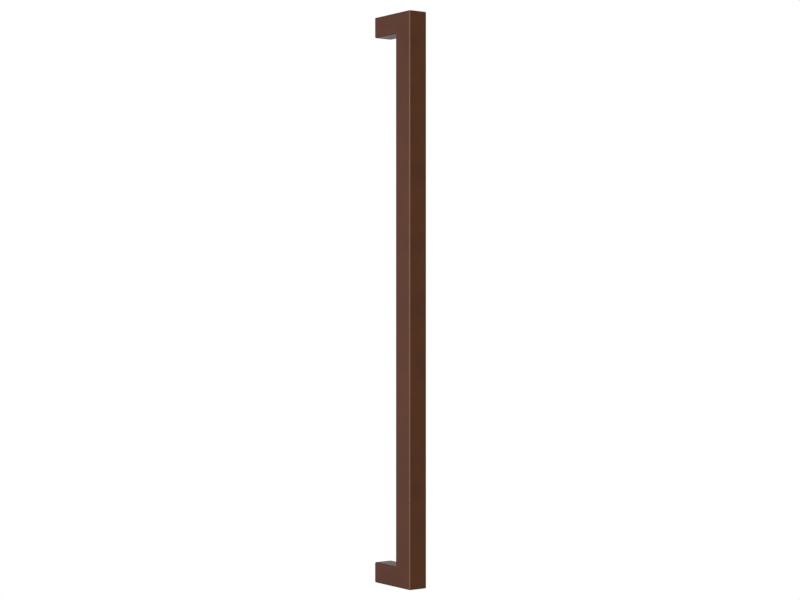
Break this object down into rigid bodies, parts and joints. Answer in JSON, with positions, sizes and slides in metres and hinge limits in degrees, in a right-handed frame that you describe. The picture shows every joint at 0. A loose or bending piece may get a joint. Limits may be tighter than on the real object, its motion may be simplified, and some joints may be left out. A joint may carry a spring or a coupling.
{
  "type": "cabinet pull",
  "caption": "Straight square bar pull with a square leg at each end, tapped from behind for machine screws through the door.",
  "frame": {"origin": "on the door plane that the feet bear on, midway between the two screw holes", "axes": "+Y from the bar towards the door, out of the screw holes; +Z along the bar; +X across the bar"},
  "size_m": [0.012, 0.035, 0.332],
  "materials": {
    "dark_bronze_coat": "satin"
  },
  "bodies": {
    "root": {"bar_pull": "dark_bronze_coat"}
  },
  "joints": []
}
